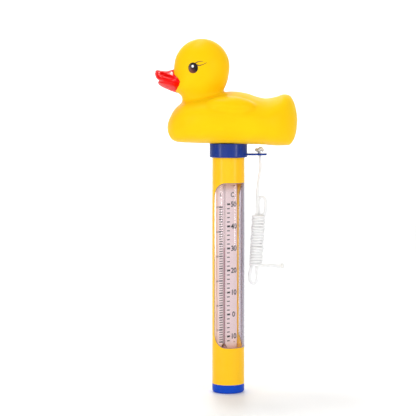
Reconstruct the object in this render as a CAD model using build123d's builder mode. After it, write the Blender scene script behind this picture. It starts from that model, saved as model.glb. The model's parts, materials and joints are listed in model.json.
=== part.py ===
from build123d import *
import math
import os

# Floating pool thermometer with a duck float, in millimetres, +Z up.
# The origin is the centre of the bottom cap's flat face and +Z runs up the tube.
# The duck looks along -X and the cord's lug points along +X.

os.makedirs("parts", exist_ok=True)

# ---------------------------------------------------------------- driving dimensions
# Support tube
tube_od = 22.0
tube_wall = 1.3
tube_length = 162.3
# Bottom cap
base_rim_height = 6.0
base_edge_radius = 1.6
base_floor = 2.0
base_plug_height = 9.0
# Top cap
collar_wall = 1.84
collar_height = 9.5
collar_roof = 2.0
cap_plug_height = 9.0
cap_plug_wall = 1.6
lug_projection = 13.2
lug_end_radius = 4.8
lug_thickness = 1.3
lug_rise = 1.3
lug_hole_d = 3.4
spigot_d = 14.0
spigot_height = 12.0
spigot_wall = 2.0
bead_height = 0.7
# Window in the tube
window_bottom = 31.5
window_height = 112.0
window_centre_angle = 35.0
window_half_angle = 94.0
window_corner = 9.5
# Scale plate and thermometer
plate_thickness = 1.2
plate_set_back = 2.0
plate_foot = 22.6
plate_height = 124.6
plate_hole_d = 1.3
plate_hole_offset = 6.4
plate_hole_inset = 11.0
glass_od = 2.0
glass_bore = 0.7
glass_offset = -2.3
glass_stand_off = 0.4
glass_tip_height = 147.0
bulb_od = 4.2
bulb_wall = 0.45
bulb_foot = 22.4
bulb_height = 9.6
spirit_rest_height = 99.0
# Holders and ballast
holder_thickness = 4.0
ballast_d = 13.6
ballast_height = 18.5
# O-rings
ring_section = 1.5
ring_height_on_plug = 4.0
# Duck float
duck_wall = 1.8
duck_length = 89.0
duck_width = 65.0
head_radius = 18.75
head_centre_x = -18.0
head_centre_rise = 51.7
socket_wall = 1.8
eye_d = 6.6
eye_offset_x = -6.1
eye_film = 0.2
# Cord
cord_d = 2.0
hank_width = 8.3
hank_depth = 6.6
hank_drop = 37.76
hank_length = 34.9
knot_radius = 3.1
end_bead_radius = 1.65

# ---------------------------------------------------------------- fits and clearances
plug_gap = 0.08
skirt_gap = 0.06
lens_gap = 0.12
plate_gap = 0.10
plate_side_gap = 0.16
glass_gap = 0.05
spirit_gap = 0.03
ring_gap = 0.02
ballast_gap = 0.10
running_gap = 0.06
collar_recess_gap = 0.40
knot_gap = 0.06

# ---------------------------------------------------------------- derived sizes
tube_r = tube_od / 2
bore_r = tube_r - tube_wall
tube_bottom = base_rim_height
tube_top = tube_bottom + tube_length
collar_r = tube_r + skirt_gap + collar_wall
lug_reach = collar_r + lug_projection
collar_top = tube_top + collar_roof + plug_gap
collar_bottom = collar_top - collar_height
plug_r = bore_r - plug_gap
spigot_r = spigot_d / 2
socket_r = spigot_r + running_gap
duck_base = collar_top + running_gap
window_top = window_bottom + window_height
plate_top = plate_foot + plate_height
plate_back = plate_set_back + plate_thickness
plate_width = 2 * (math.sqrt(bore_r**2 - plate_back**2) - plate_side_gap)
bulb_neck = bulb_foot + bulb_height
ring_r = ring_section / 2

# The scale plate faces the middle of the window. Its own plane has x to the
# right across the plate, y up the tube and its normal out through the window.
facing = math.radians(window_centre_angle)
out_of_window = Vector(math.sin(facing), -math.cos(facing), 0)
across_plate = Vector(math.cos(facing), math.sin(facing), 0)


def plate_plane(depth):
    """Upright plane facing the window, its origin moved out from the tube's axis by depth."""
    return Plane(origin=out_of_window * depth, x_dir=across_plate, z_dir=out_of_window)


def point_on_plate(across, depth):
    """Horizontal place of a point across the plate and out from the tube's axis."""
    return across_plate * across + out_of_window * depth


glass_place = point_on_plate(glass_offset, glass_stand_off - plate_set_back)


def turned(points):
    """Solid of revolution about +Z from straight (radius, height) points."""
    with BuildPart() as body:
        with BuildSketch(Plane.XZ):
            with BuildLine():
                Polyline(*points, close=True)
            make_face()
        revolve(axis=Axis.Z)
    return body.part


def o_ring(centre_radius, height):
    """Ring of round section about +Z."""
    with BuildPart() as body:
        with BuildSketch(Plane.XZ):
            with Locations((centre_radius, height)):
                Circle(ring_r)
        revolve(axis=Axis.Z)
    return body.part


def save(part, name):
    """Labels one finished piece and writes it."""
    part.label = name
    export_step(part, f"parts/{name}.step")


# ---------------------------------------------------------------- window shape
def sector(z_low, z_high, half_angle, r_low, r_high):
    """Part of a ring, centred on the window's direction."""
    start = window_centre_angle - 90 - half_angle
    with BuildPart() as body:
        with BuildSketch(Plane.XZ.rotated((0, 0, start))):
            with Locations(((r_low + r_high) / 2, (z_low + z_high) / 2)):
                Rectangle(r_high - r_low, z_high - z_low)
        revolve(axis=Axis.Z, revolution_arc=2 * half_angle)
    return body.part


def window_shape(inset, r_low, r_high):
    """The window's rounded opening as a solid through the wall, smaller by inset all round."""
    inset_angle = math.degrees(inset / tube_r)
    corner_angle = math.degrees(window_corner / tube_r)
    half_angle = window_half_angle - inset_angle
    z_low = window_bottom + inset
    z_high = window_top - inset
    corner_half_width = tube_r * math.sin(math.radians(corner_angle))
    with BuildPart() as body:
        add(sector(z_low, z_high, half_angle - corner_angle, r_low, r_high))
        add(sector(z_low + window_corner, z_high - window_corner, half_angle, r_low, r_high))
        for side in (-1, 1):
            angle = facing + side * math.radians(half_angle - corner_angle)
            corner_out = Vector(math.sin(angle), -math.cos(angle), 0)
            corner_across = Vector(math.cos(angle), math.sin(angle), 0)
            corner_plane = Plane(
                origin=corner_out * (r_low * 0.5), x_dir=corner_across, z_dir=corner_out
            )
            with BuildSketch(corner_plane):
                with Locations((0, z_low + window_corner), (0, z_high - window_corner)):
                    Ellipse(corner_half_width, window_corner)
            extrude(amount=r_high)
        add(sector(z_low, z_high, half_angle, r_low, r_high), mode=Mode.INTERSECT)
    return body.part


# ---------------------------------------------------------------- outer tube and lens
with BuildPart() as outer_tube:
    with BuildSketch(Plane.XY.offset(tube_bottom)):
        Circle(tube_r)
        Circle(bore_r, mode=Mode.SUBTRACT)
    extrude(amount=tube_length)
    add(window_shape(0, bore_r - 1, tube_r + 1), mode=Mode.SUBTRACT)
save(outer_tube.part, "outer_tube")

with BuildPart() as window_lens:
    add(window_shape(lens_gap, bore_r, tube_r))
save(window_lens.part, "window_lens")

# ---------------------------------------------------------------- bottom cap and ballast
base_ring_r = bore_r - ring_gap - ring_r
groove_r = base_ring_r - ring_r - ring_gap
groove_half = ring_r + ring_gap
base_ring_z = base_rim_height + ring_height_on_plug
ballast_pocket_r = ballast_d / 2 + ballast_gap
base_plug_top = base_rim_height + base_plug_height
with BuildPart() as bottom_cap:
    add(
        turned(
            [
                (0, 0),
                (tube_r, 0),
                (tube_r, base_rim_height),
                (plug_r, base_rim_height),
                (plug_r, base_ring_z - groove_half),
                (groove_r, base_ring_z - groove_half),
                (groove_r, base_ring_z + groove_half),
                (plug_r, base_ring_z + groove_half),
                (plug_r, base_plug_top),
                (ballast_pocket_r, base_plug_top),
                (ballast_pocket_r, base_floor),
                (0, base_floor),
            ]
        )
    )
    fillet(bottom_cap.edges().group_by(Axis.Z)[0], base_edge_radius)
save(bottom_cap.part, "bottom_cap")
save(o_ring(base_ring_r, base_ring_z), "base_o_ring")

with BuildPart() as ballast_slug:
    with BuildSketch(Plane.XY.offset(base_floor)):
        Circle(ballast_d / 2)
    extrude(amount=ballast_height)
    chamfer(ballast_slug.edges(), 0.5)
save(ballast_slug.part, "ballast_slug")

# ---------------------------------------------------------------- top cap
cap_ring_z = tube_top - ring_height_on_plug
cap_plug_foot = tube_top - cap_plug_height
cap_hollow_r = plug_r - cap_plug_wall - ring_section
bead_low = collar_top + spigot_height * 0.55
bead_high = bead_low + 2 * bead_height
spigot_ring_z = collar_top + spigot_height * 0.3
spigot_ring_r = socket_r - ring_gap - ring_r
spigot_groove_r = spigot_ring_r - ring_r - ring_gap
spigot_top = collar_top + spigot_height
spigot_hollow_r = spigot_r - spigot_wall - bead_height
skirt_r = tube_r + skirt_gap
with BuildPart() as top_cap:
    add(
        turned(
            [
                (0, tube_top + plug_gap),
                (cap_hollow_r, tube_top + plug_gap),
                (cap_hollow_r, cap_plug_foot),
                (plug_r, cap_plug_foot),
                (plug_r, cap_ring_z - groove_half),
                (groove_r, cap_ring_z - groove_half),
                (groove_r, cap_ring_z + groove_half),
                (plug_r, cap_ring_z + groove_half),
                (plug_r, tube_top + plug_gap),
                (skirt_r, tube_top + plug_gap),
                (skirt_r, collar_bottom),
                (collar_r, collar_bottom),
                (collar_r, collar_top),
                (spigot_r, collar_top),
                (spigot_r, spigot_ring_z - groove_half),
                (spigot_groove_r, spigot_ring_z - groove_half),
                (spigot_groove_r, spigot_ring_z + groove_half),
                (spigot_r, spigot_ring_z + groove_half),
                (spigot_r, bead_low),
                (spigot_r + bead_height, bead_low + bead_height * 0.5),
                (spigot_r + bead_height, bead_high - bead_height * 0.5),
                (spigot_r, bead_high),
                (spigot_r, spigot_top - 1.0),
                (spigot_r - 1.0, spigot_top),
                (spigot_hollow_r, spigot_top),
                (spigot_hollow_r, collar_top + 1.0),
                (0, collar_top + 1.0),
            ]
        )
    )
    rim = top_cap.edges().filter_by(GeomType.CIRCLE).sort_by(SortBy.RADIUS)[-2:]
    fillet(rim, 0.4)
    with BuildSketch(Plane.XY.offset(collar_bottom + lug_rise)):
        lug_hole_x = lug_reach - lug_end_radius
        with Locations((lug_hole_x, 0)):
            Circle(lug_end_radius)
        with Locations(((lug_hole_x + skirt_r + 1) / 2, 0)):
            Rectangle(lug_hole_x - skirt_r - 1, 2 * lug_end_radius)
        with Locations((lug_hole_x, 0)):
            Circle(lug_hole_d / 2, mode=Mode.SUBTRACT)
    extrude(amount=lug_thickness)
save(top_cap.part, "top_cap")
save(o_ring(base_ring_r, cap_ring_z), "cap_o_ring")
save(o_ring(spigot_ring_r, spigot_ring_z), "spigot_o_ring")
lug_underside = collar_bottom + lug_rise
lug_top = lug_underside + lug_thickness

# ---------------------------------------------------------------- scale plate and holders
with BuildPart() as scale_plate:
    with BuildSketch(plate_plane(-plate_set_back)):
        with Locations((0, plate_foot + plate_height / 2)):
            RectangleRounded(plate_width, plate_height, 1.0)
        with Locations(
            (plate_hole_offset, plate_foot + plate_hole_inset),
            (plate_hole_offset, plate_top - plate_hole_inset + 5.0),
        ):
            Circle(plate_hole_d / 2, mode=Mode.SUBTRACT)
        with Locations((glass_offset, plate_foot)):
            SlotOverall(
                2 * (bulb_neck - plate_foot + 1.0), bulb_od + 4 * plate_gap, 90, mode=Mode.SUBTRACT
            )
    extrude(amount=-plate_thickness)
    with BuildSketch(Plane.XY.offset(plate_foot - 1).move(Location(glass_place))):
        Circle(glass_od / 2 + glass_gap)
    extrude(amount=plate_height + 2, mode=Mode.SUBTRACT)
save(scale_plate.part, "scale_plate")


def holder(foot, slot_foot, hole_d):
    """Disc in the tube's bore with a slot for the plate's end and a hole for the glass."""
    with BuildPart() as body:
        with BuildSketch(Plane.XY.offset(foot)):
            Circle(plug_r)
        extrude(amount=holder_thickness)
        with BuildSketch(plate_plane(plate_gap - plate_set_back)):
            with Locations((0, slot_foot + holder_thickness / 2)):
                Rectangle(plate_width + 2 * plate_gap, holder_thickness)
        extrude(amount=-plate_thickness - 2 * plate_gap, mode=Mode.SUBTRACT)
        with BuildSketch(Plane.XY.offset(slot_foot).move(Location(glass_place))):
            Circle(hole_d / 2 + plate_gap)
        extrude(amount=holder_thickness, mode=Mode.SUBTRACT)
    return body.part


lower_holder_foot = base_floor + ballast_height + plate_gap
lower_slot_foot = min(plate_foot, bulb_foot) - plate_gap
save(holder(lower_holder_foot, lower_slot_foot, bulb_od), "lower_holder")
upper_slot_foot = max(plate_top, glass_tip_height) + plate_gap - holder_thickness
upper_holder_foot = upper_slot_foot + 1.2
save(holder(upper_holder_foot, upper_slot_foot, glass_od), "upper_holder")

# ---------------------------------------------------------------- glass thermometer
glass_plane = Plane(origin=glass_place, x_dir=(1, 0, 0), z_dir=(0, -1, 0))
glass_axis = Axis(glass_place, (0, 0, 1))
glass_r = glass_od / 2
bulb_r = bulb_od / 2
glass_bore_r = glass_bore / 2
with BuildPart() as glass_thermometer:
    with BuildSketch(glass_plane):
        with BuildLine():
            Polyline(
                (0, bulb_foot),
                (bulb_r - 1.0, bulb_foot),
                (bulb_r, bulb_foot + 1.0),
                (bulb_r, bulb_neck - 1.5),
                (glass_r, bulb_neck),
                (glass_r, glass_tip_height - glass_r),
                (glass_r * 0.7, glass_tip_height - glass_r * 0.3),
                (0, glass_tip_height),
                close=True,
            )
        make_face()
        with BuildLine():
            Polyline(
                (0, bulb_foot + bulb_wall),
                (bulb_r - bulb_wall - 0.8, bulb_foot + bulb_wall),
                (bulb_r - bulb_wall, bulb_foot + bulb_wall + 0.8),
                (bulb_r - bulb_wall, bulb_neck - 1.7),
                (glass_bore_r, bulb_neck),
                (glass_bore_r, glass_tip_height - 2.5),
                (0, glass_tip_height - 2.5),
                close=True,
            )
        make_face(mode=Mode.SUBTRACT)
    revolve(axis=glass_axis)
save(glass_thermometer.part, "glass_thermometer")

with BuildPart() as bulb_spirit:
    with BuildSketch(glass_plane):
        fill_r = bulb_r - bulb_wall - spirit_gap
        with BuildLine():
            Polyline(
                (0, bulb_foot + bulb_wall + spirit_gap),
                (fill_r - 0.8, bulb_foot + bulb_wall + spirit_gap),
                (fill_r, bulb_foot + bulb_wall + 0.8 + 2 * spirit_gap),
                (fill_r, bulb_neck - 1.75),
                (glass_bore_r - spirit_gap, bulb_neck - 0.1),
                (glass_bore_r - spirit_gap, bulb_neck),
                (0, bulb_neck),
                close=True,
            )
        make_face()
    revolve(axis=glass_axis)
save(bulb_spirit.part, "bulb_spirit")

meniscus_height = 0.5
with BuildPart() as spirit_column:
    with BuildSketch(Plane.XY.offset(bulb_neck + spirit_gap).move(Location(glass_place))):
        Circle(glass_bore_r - spirit_gap)
    extrude(amount=spirit_rest_height - bulb_neck - spirit_gap - meniscus_height)
save(spirit_column.part, "spirit_column")

with BuildPart() as spirit_meniscus:
    with BuildSketch(Plane.XY.offset(spirit_rest_height - meniscus_height).move(Location(glass_place))):
        Circle(glass_bore_r - spirit_gap)
    extrude(amount=meniscus_height)
save(spirit_meniscus.part, "spirit_meniscus")

# ---------------------------------------------------------------- duck float
# Body stations: along the duck's length as a share of it, with the share of the
# width, and the underside's and back's rise above the duck's base.
duck_front = -41.6
body_stations = [
    (0.000, 0.10, 8.2, 13.0),
    (0.022, 0.34, 4.0, 18.6),
    (0.060, 0.54, 1.6, 23.2),
    (0.125, 0.72, 0.9, 28.4),
    (0.235, 0.88, 0.5, 32.0),
    (0.380, 0.98, 0.2, 34.8),
    (0.530, 1.00, -0.1, 35.2),
    (0.680, 0.95, -0.4, 32.6),
    (0.780, 0.86, -0.6, 31.0),
    (0.870, 0.73, -0.7, 32.4),
    (0.925, 0.60, -0.4, 33.0),
    (0.965, 0.45, 2.4, 30.4),
    (0.990, 0.27, 7.6, 24.6),
    (1.000, 0.10, 12.5, 19.0),
]
section_points = 12
section_power = 0.92


def duck_body(inset):
    """Loft through rounded upright sections, smaller by inset all round."""
    with BuildPart() as body:
        for share, width_share, low, high in body_stations:
            x = duck_front + inset + share * (duck_length - 2 * inset)
            half_width = duck_width / 2 * width_share
            half_height = (high - low) / 2
            shrink = min(inset, 0.8 * half_width, 0.8 * half_height)
            half_width -= shrink
            half_height -= shrink
            middle = duck_base + (low + high) / 2
            outline = []
            for n in range(section_points):
                turn = 2 * math.pi * n / section_points
                sideways = math.copysign(abs(math.cos(turn)) ** section_power, math.cos(turn))
                upward = math.copysign(abs(math.sin(turn)) ** section_power, math.sin(turn))
                outline.append((half_width * sideways, middle + half_height * upward))
            with BuildSketch(Plane.YZ.offset(x)):
                with BuildLine():
                    Spline(*outline, periodic=True)
                make_face()
        loft()
    return body.part


def duck_head(inset, foot):
    """Head and neck turned about the head's upright axis, smaller by inset."""
    r = head_radius - inset
    middle = duck_base + head_centre_rise
    neck_r = head_radius * 0.75 - inset
    low_angle = math.radians(-28)
    cheek = (r * math.cos(low_angle), middle + r * math.sin(low_angle))
    with BuildPart() as body:
        with BuildSketch(Plane.XZ.move(Location((head_centre_x, 0, 0)))):
            with BuildLine():
                ThreePointArc((0, middle + r), (r, middle), cheek)
                Spline(
                    cheek,
                    (neck_r + 0.9, duck_base + 37.0),
                    (neck_r, duck_base + 32.5),
                    (neck_r + 0.4, duck_base + 28.0),
                    (neck_r + 1.0, foot),
                )
                Polyline((neck_r + 1.0, foot), (0, foot), (0, middle + r))
            make_face()
        revolve(axis=Axis((head_centre_x, 0, 0), (0, 0, 1)))
    return body.part


def duck_socket(radius, low, high):
    """Upright cylinder on the tube's axis."""
    with BuildPart() as body:
        with BuildSketch(Plane.XY.offset(low)):
            Circle(radius)
        extrude(amount=high - low)
    return body.part


socket_top = spigot_top + 1.5
with BuildPart() as duck_shell:
    add(duck_body(0))
    add(duck_head(0, duck_base + 20.0))
    add(duck_body(duck_wall), mode=Mode.SUBTRACT)
    add(duck_head(duck_wall, duck_base + 21.0), mode=Mode.SUBTRACT)
    add(duck_socket(socket_r + bead_height + socket_wall, duck_base + duck_wall * 0.4, socket_top))
    add(duck_socket(socket_r, duck_base - 3.0, socket_top + 1.0), mode=Mode.SUBTRACT)
    groove_low = bead_low - running_gap
    groove_high = bead_high + running_gap
    add(duck_socket(socket_r + bead_height, groove_low, groove_high), mode=Mode.SUBTRACT)
    recess_r = collar_r + collar_recess_gap
    add(duck_socket(recess_r, duck_base - 3.0, duck_base), mode=Mode.SUBTRACT)
save(duck_shell.part, "duck_shell")

# Bill stations: distance out from the tube's axis, half width, lower and upper rise.
bill_stations = [
    (-31.0, 11.0, 37.2, 49.6),
    (-36.0, 12.8, 36.2, 50.4),
    (-40.5, 13.6, 37.0, 50.0),
    (-45.0, 12.4, 39.2, 50.0),
    (-48.2, 8.8, 42.0, 50.2),
    (-49.7, 4.6, 45.6, 49.6),
]


def bill_form(inset):
    """Loft of the bill through upright ellipses, smaller by inset."""
    with BuildPart() as body:
        for x, half_width, low, high in bill_stations:
            station = x + inset * (1 if x < bill_stations[-2][0] else 0)
            with BuildSketch(Plane.YZ.offset(station)):
                with Locations((0, duck_base + (low + high) / 2)):
                    Ellipse(half_width - inset, (high - low) / 2 - inset)
        loft()
    return body.part


with BuildPart() as bill:
    add(bill_form(0))
    add(bill_form(duck_wall - 0.4), mode=Mode.SUBTRACT)
    add(duck_head(0, duck_base + 20.0), mode=Mode.SUBTRACT)
save(bill.part, "bill")

head_centre = Vector(head_centre_x, 0, duck_base + head_centre_rise)
for eye_name, side in (("right_eye", -1), ("left_eye", 1)):
    with BuildPart() as eye:
        with Locations(head_centre):
            Sphere(head_radius + eye_film)
            Sphere(head_radius + ring_gap, mode=Mode.SUBTRACT)
        eye_plane = Plane(
            origin=head_centre + Vector(eye_offset_x, 0, 0), x_dir=(1, 0, 0), z_dir=(0, side, 0)
        )
        with BuildSketch(eye_plane):
            Circle(eye_d / 2)
        extrude(amount=2 * head_radius, mode=Mode.INTERSECT)
    save(eye.part, eye_name)

# ---------------------------------------------------------------- cord
cord_r = cord_d / 2
pivot_z = lug_underside - cord_r - 2 * knot_gap
stub_foot = pivot_z + cord_r + knot_gap
knot_foot = lug_top + knot_gap
knot_top = knot_foot + 1.72 * knot_radius
knot_plane = Plane.XZ.move(Location((lug_hole_x, 0, 0)))
with BuildPart() as stop_knot:
    with BuildSketch(knot_plane):
        with BuildLine():
            Polyline(
                (0, knot_top),
                (0, stub_foot),
                (cord_r, stub_foot),
                (cord_r, knot_foot),
                (knot_radius * 0.6, knot_foot),
            )
            Spline(
                (knot_radius * 0.6, knot_foot),
                (knot_radius, (knot_foot + knot_top) / 2),
                (0, knot_top),
                tangents=((1, 0.6), (-1, 0)),
            )
        make_face()
    revolve(axis=Axis((lug_hole_x, 0, 0), (0, 0, 1)))
save(stop_knot.part, "stop_knot")


def cord_tube(points):
    """Round cord along straight runs joined by the largest arcs that they allow."""
    corners = [Vector(*p) for p in points]
    radii = []
    for before, corner, after in zip(corners, corners[1:], corners[2:]):
        turn = (corner - before).get_angle(after - corner)
        shorter = min((corner - before).length, (after - corner).length)
        radii.append(0.45 * shorter / math.tan(math.radians(turn) / 2))
    print("cord arc radii", [round(r, 1) for r in radii])
    with BuildPart() as body:
        with BuildLine() as route:
            FilletPolyline(*corners, radius=radii)
        path = route.wire()
        with BuildSketch(Plane(origin=path @ 0, z_dir=path % 0)):
            Circle(cord_r)
        sweep(path=path)
    volume_share = body.part.volume / (math.pi * cord_r**2 * path.length)
    print("cord length", round(path.length, 1), "volume share", round(volume_share, 4))
    return body.part


# The run hangs from the pivot under the lug to the top of the hank. The cord's
# points are given out from the lug's hole and down from the pivot.
hank_top = pivot_z - hank_drop
hank_foot = hank_top - hank_length
run_points = [
    (lug_hole_x, 0, pivot_z),
    (lug_hole_x + 0.8, 0.2, pivot_z - 7.3),
    (lug_hole_x - 0.6, -0.2, pivot_z - 13.9),
    (lug_hole_x - 1.4, 0.1, pivot_z - 21.5),
    (lug_hole_x - 1.8, 0, pivot_z - 29.5),
    (lug_hole_x - 1.8, 0, hank_top),
]
with BuildPart() as cord_run:
    add(cord_tube(run_points))
    with Locations((lug_hole_x, 0, pivot_z)):
        Sphere(cord_r)
save(cord_run.part, "cord_run")

hank_top_x = lug_hole_x - 1.1
hank_foot_x = lug_hole_x - 2.6
loop_thickness = cord_d * 1.1
with BuildPart() as cord_hank:
    for z, x in (
        (hank_foot, hank_foot_x),
        ((hank_foot + hank_top) / 2, (hank_foot_x + hank_top_x) / 2 + 0.3),
        (hank_top, hank_top_x),
    ):
        with BuildSketch(Plane.XY.offset(z)):
            with Locations((x, 0)):
                Ellipse(hank_width / 2, hank_depth / 2)
    loft()
    with BuildSketch(Plane.XZ.offset(-loop_thickness / 2)):
        with Locations((hank_top_x + 3.7, hank_top + 5.0)):
            Ellipse(3.1, 7.9)
        with Locations((hank_foot_x - 1.6, hank_foot - 5.6)):
            Ellipse(3.4, 8.0)
    extrude(amount=loop_thickness)
save(cord_hank.part, "cord_hank")

tail_points = [
    (hank_foot_x + 2.3, 0.0, hank_foot + 1.5),
    (hank_foot_x + 6.5, -0.4, hank_foot - 0.7),
    (hank_foot_x + 11.3, 0.3, hank_foot - 0.5),
    (hank_foot_x + 15.3, 0.0, hank_foot - 1.6),
    (hank_foot_x + 18.7, 0.2, hank_foot - 1.4),
]
with BuildPart() as cord_tail:
    add(cord_tube(tail_points))
save(cord_tail.part, "cord_tail")

with BuildPart() as cord_end_bead:
    with Locations(tail_points[-1]):
        Sphere(end_bead_radius)
save(cord_end_bead.part, "cord_end_bead")
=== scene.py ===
"""Looks of a floating pool thermometer with a duck float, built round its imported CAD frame.

Sizes are in metres and in the frame of the CAD model; MM turns a size in millimetres into metres.
"""

import json
import math

import bpy
import numpy as np
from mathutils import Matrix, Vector


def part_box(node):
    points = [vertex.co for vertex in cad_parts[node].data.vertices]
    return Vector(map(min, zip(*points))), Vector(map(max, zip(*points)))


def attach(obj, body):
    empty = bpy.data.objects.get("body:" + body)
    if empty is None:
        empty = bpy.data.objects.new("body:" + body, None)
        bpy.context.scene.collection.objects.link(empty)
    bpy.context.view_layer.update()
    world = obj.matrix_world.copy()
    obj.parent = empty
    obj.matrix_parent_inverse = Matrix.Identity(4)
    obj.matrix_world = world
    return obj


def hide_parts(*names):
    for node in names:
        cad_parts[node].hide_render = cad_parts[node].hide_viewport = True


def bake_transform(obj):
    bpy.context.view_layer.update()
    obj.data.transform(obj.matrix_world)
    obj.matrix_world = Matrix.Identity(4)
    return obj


MM = 0.001
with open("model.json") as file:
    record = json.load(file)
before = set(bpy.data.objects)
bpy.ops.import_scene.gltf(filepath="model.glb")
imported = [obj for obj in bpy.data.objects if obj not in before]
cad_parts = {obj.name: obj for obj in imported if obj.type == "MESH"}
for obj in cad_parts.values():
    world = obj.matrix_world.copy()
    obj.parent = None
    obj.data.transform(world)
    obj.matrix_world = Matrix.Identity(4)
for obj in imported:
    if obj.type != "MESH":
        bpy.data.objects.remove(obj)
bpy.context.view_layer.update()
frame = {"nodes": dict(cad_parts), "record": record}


# ---------------------------------------------------------------- places read from the frame
JOINTS = {joint["name"]: joint for joint in frame["record"]["behaviour"]["joints"]}
DUCK_BASE = JOINTS["duck_twist"]["pos_m"][2]
LUG_X = JOINTS["tether_swing"]["pos_m"][0]
LUG_UNDERSIDE = JOINTS["tether_turn"]["pos_m"][2]
TUBE_R = (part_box("outer_tube")[1].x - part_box("outer_tube")[0].x) / 2


# ---------------------------------------------------------------- small helpers
def mesh_piece(name, points, faces, smooth=True):
    """A mesh object from points in metres and faces as index tuples."""
    mesh = bpy.data.meshes.new(name)
    mesh.from_pydata([tuple(p) for p in points], [], [tuple(f) for f in faces])
    mesh.update()
    for polygon in mesh.polygons:
        polygon.use_smooth = smooth
    piece = bpy.data.objects.new(name, mesh)
    bpy.context.scene.collection.objects.link(piece)
    return piece


def grid_faces(rows, columns, closed=True):
    """Quads of a grid of points whose columns close on themselves."""
    faces = []
    for row in range(rows - 1):
        for column in range(columns if closed else columns - 1):
            after = (column + 1) % columns
            faces.append(
                (
                    row * columns + column,
                    row * columns + after,
                    (row + 1) * columns + after,
                    (row + 1) * columns + column,
                )
            )
    return faces


def smooth_through(knots, x):
    """Smooth curve through (x, value) knots, with no overshoot between them."""
    kx = np.array([k[0] for k in knots], float)
    ky = np.array([k[1] for k in knots], float)
    step = np.diff(kx)
    slope = np.diff(ky) / step
    tangent = np.concatenate([[slope[0]], np.zeros(len(slope) - 1), [slope[-1]]])
    same_way = slope[:-1] * slope[1:] > 0
    weight_a = 2 * step[1:] + step[:-1]
    weight_b = step[1:] + 2 * step[:-1]
    safe_a = np.where(same_way, slope[:-1], 1.0)
    safe_b = np.where(same_way, slope[1:], 1.0)
    mean = (weight_a + weight_b) / (weight_a / safe_a + weight_b / safe_b)
    tangent[1:-1] = np.where(same_way, mean, 0.0)
    x = np.clip(x, kx[0], kx[-1])
    i = np.clip(np.searchsorted(kx, x) - 1, 0, len(step) - 1)
    t = (x - kx[i]) / step[i]
    return (
        (2 * t**3 - 3 * t**2 + 1) * ky[i]
        + (t**3 - 2 * t**2 + t) * step[i] * tangent[i]
        + (3 * t**2 - 2 * t**3) * ky[i + 1]
        + (t**3 - t**2) * step[i] * tangent[i + 1]
    )


# ---------------------------------------------------------------- materials
def new_material(name, **values):
    """A material whose principled shader has these values on its own sockets."""
    material = bpy.data.materials.new(name)
    material.use_nodes = True
    shader = material.node_tree.nodes["Principled BSDF"]
    for socket, value in values.items():
        shader.inputs[socket.replace("_", " ")].default_value = value
    return material, material.node_tree.nodes, material.node_tree.links, shader


def noise(nodes, links, scale, detail=3.0, distortion=0.0, stretch=(1, 1, 1)):
    """A noise texture in object coordinates, in turns per metre."""
    place = nodes.new("ShaderNodeTexCoord")
    mapping = nodes.new("ShaderNodeMapping")
    mapping.inputs["Scale"].default_value = stretch
    texture = nodes.new("ShaderNodeTexNoise")
    texture.inputs["Scale"].default_value = scale
    texture.inputs["Detail"].default_value = detail
    texture.inputs["Distortion"].default_value = distortion
    links.new(place.outputs["Object"], mapping.inputs["Vector"])
    links.new(mapping.outputs["Vector"], texture.inputs["Vector"])
    return texture.outputs["Fac"]


def ramp(nodes, links, source, stops):
    """Colours or grey levels across a source's values."""
    node = nodes.new("ShaderNodeValToRGB")
    while len(node.color_ramp.elements) < len(stops):
        node.color_ramp.elements.new(0.5)
    for element, (position, colour) in zip(node.color_ramp.elements, stops):
        element.position = position
        level = colour if isinstance(colour, tuple) else (colour, colour, colour)
        element.color = (*level, 1.0)
    links.new(source, node.inputs["Fac"])
    return node.outputs["Color"]


def bump(nodes, links, shader, height, strength, distance):
    """Surface relief from a height, its depth in metres."""
    node = nodes.new("ShaderNodeBump")
    node.inputs["Strength"].default_value = strength
    node.inputs["Distance"].default_value = distance
    links.new(height, node.inputs["Height"])
    links.new(node.outputs["Normal"], shader.inputs["Normal"])


def moulded(name, dark, light, rough_low, rough_high, grain=900.0, **values):
    """Moulded plastic: slow colour drift, uneven gloss and a very fine grain."""
    material, nodes, links, shader = new_material(name, **values)
    drift = noise(nodes, links, 35.0)
    links.new(ramp(nodes, links, drift, [(0.3, dark), (0.7, light)]), shader.inputs["Base Color"])
    gloss = noise(nodes, links, 160.0, 4.0)
    rough = ramp(nodes, links, gloss, [(0.3, rough_low), (0.7, rough_high)])
    links.new(rough, shader.inputs["Roughness"])
    bump(nodes, links, shader, noise(nodes, links, grain, 5.0), 0.12, 0.06 * MM)
    return material


def give(piece, material):
    """Puts a material in a piece's slots."""
    mesh = piece.data
    if not mesh.materials:
        mesh.materials.append(material)
    for i in range(len(mesh.materials)):
        mesh.materials[i] = material


# ---------------------------------------------------------------- camera
CAMERA_DISTANCE = 1.1
CAMERA_HEIGHT = 0.210
AIM_HEIGHT = 0.1262
AIM_X = -0.0139
LENS_LENGTH = 140.2
camera_data = bpy.data.cameras.new("camera")
camera_data.lens = LENS_LENGTH
camera = bpy.data.objects.new("camera", camera_data)
bpy.context.scene.collection.objects.link(camera)
camera.location = (AIM_X, -CAMERA_DISTANCE, CAMERA_HEIGHT)
camera.rotation_mode = "QUATERNION"
aim = Vector((AIM_X, 0, AIM_HEIGHT))
camera.rotation_quaternion = (aim - camera.location).to_track_quat("-Z", "Y")
bpy.context.scene.camera = camera


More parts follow.
